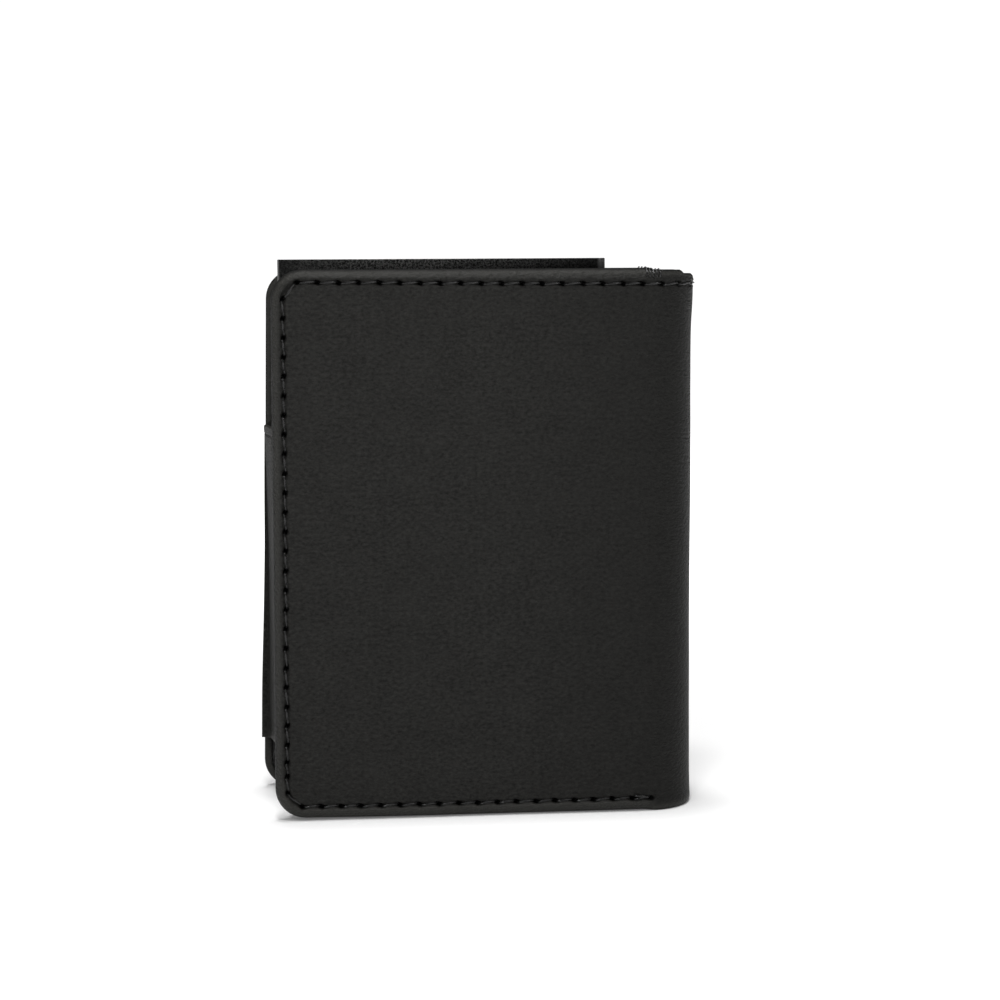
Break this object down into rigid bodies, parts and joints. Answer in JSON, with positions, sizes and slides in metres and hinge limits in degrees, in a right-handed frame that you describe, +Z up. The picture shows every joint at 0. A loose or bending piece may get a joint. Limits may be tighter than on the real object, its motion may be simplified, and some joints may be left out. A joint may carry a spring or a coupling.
{
  "type": "bifold wallet",
  "caption": "Bifold leather wallet standing slightly open, with a pop-up aluminium card case behind its front cover and stepped card slots inside.",
  "frame": {"origin": "bottom centre of the bounding box at rest, with the covers slightly open", "axes": "+Z up along the spine, +X from the free edges to the spine, +Y out of the back cover's outer face"},
  "size_m": [0.0826, 0.0298, 0.1049],
  "materials": {
    "cover_leather": "black smooth leather with fine grain",
    "lining_leather": "black thin lining leather",
    "thread": "black waxed thread",
    "board": "pressed leather fibre stiffener",
    "case_metal": "black anodised, blasted",
    "plastic": "black moulded",
    "felt": "dense black felt",
    "steel": "plain steel",
    "foam": "thin adhesive foam"
  },
  "bodies": {
    "back_half": {"back_cover_leather": "cover_leather", "back_cover_board": "board", "back_lining": "lining_leather", "back_stitching": "thread", "case_sleeve": "lining_leather", "sleeve_stitching": "thread", "case_adhesive_pad": "foam", "card_case": "case_metal", "case_base": "plastic", "left_card_rail": "plastic", "right_card_rail": "plastic", "left_card_brake": "felt", "right_card_brake": "felt", "lever_pin": "steel", "lever_spring": "steel"},
    "spine": {"spine_leather": "cover_leather", "spine_lining": "lining_leather"},
    "front_half": {"front_cover_leather": "cover_leather", "front_cover_board": "board", "front_lining": "lining_leather", "front_stitching": "thread", "upper_card_slot": "lining_leather", "middle_card_slot": "lining_leather", "lower_card_slot": "lining_leather"},
    "lever": {"ejector_lever": "plastic"}
  },
  "joints": [
    {"name": "back_crease", "type": "hinge", "parent": "back_half", "child": "spine", "pos_m": [0.03853, 0.01263, 0], "axis": [0, 0, 1], "range_deg": [-4.3, 85]},
    {"name": "front_crease", "type": "hinge", "parent": "spine", "child": "front_half", "pos_m": [0.03958, -0.00068, 0], "axis": [0, 0, 1], "range_deg": [-4.3, 85]},
    {"name": "ejector_pivot", "type": "hinge", "parent": "back_half", "child": "lever", "pos_m": [-0.03055, 0.00751, 0.0095], "axis": [0, -1, 0], "range_deg": [0, 30], "stiffness_Nm_per_rad": 0.02, "springref_deg": -22.92, "deforming": ["lever_spring"]}
  ],
  "couplings": [
    {"joint": "front_crease", "follows": "back_crease", "ratio": 1}
  ]
}
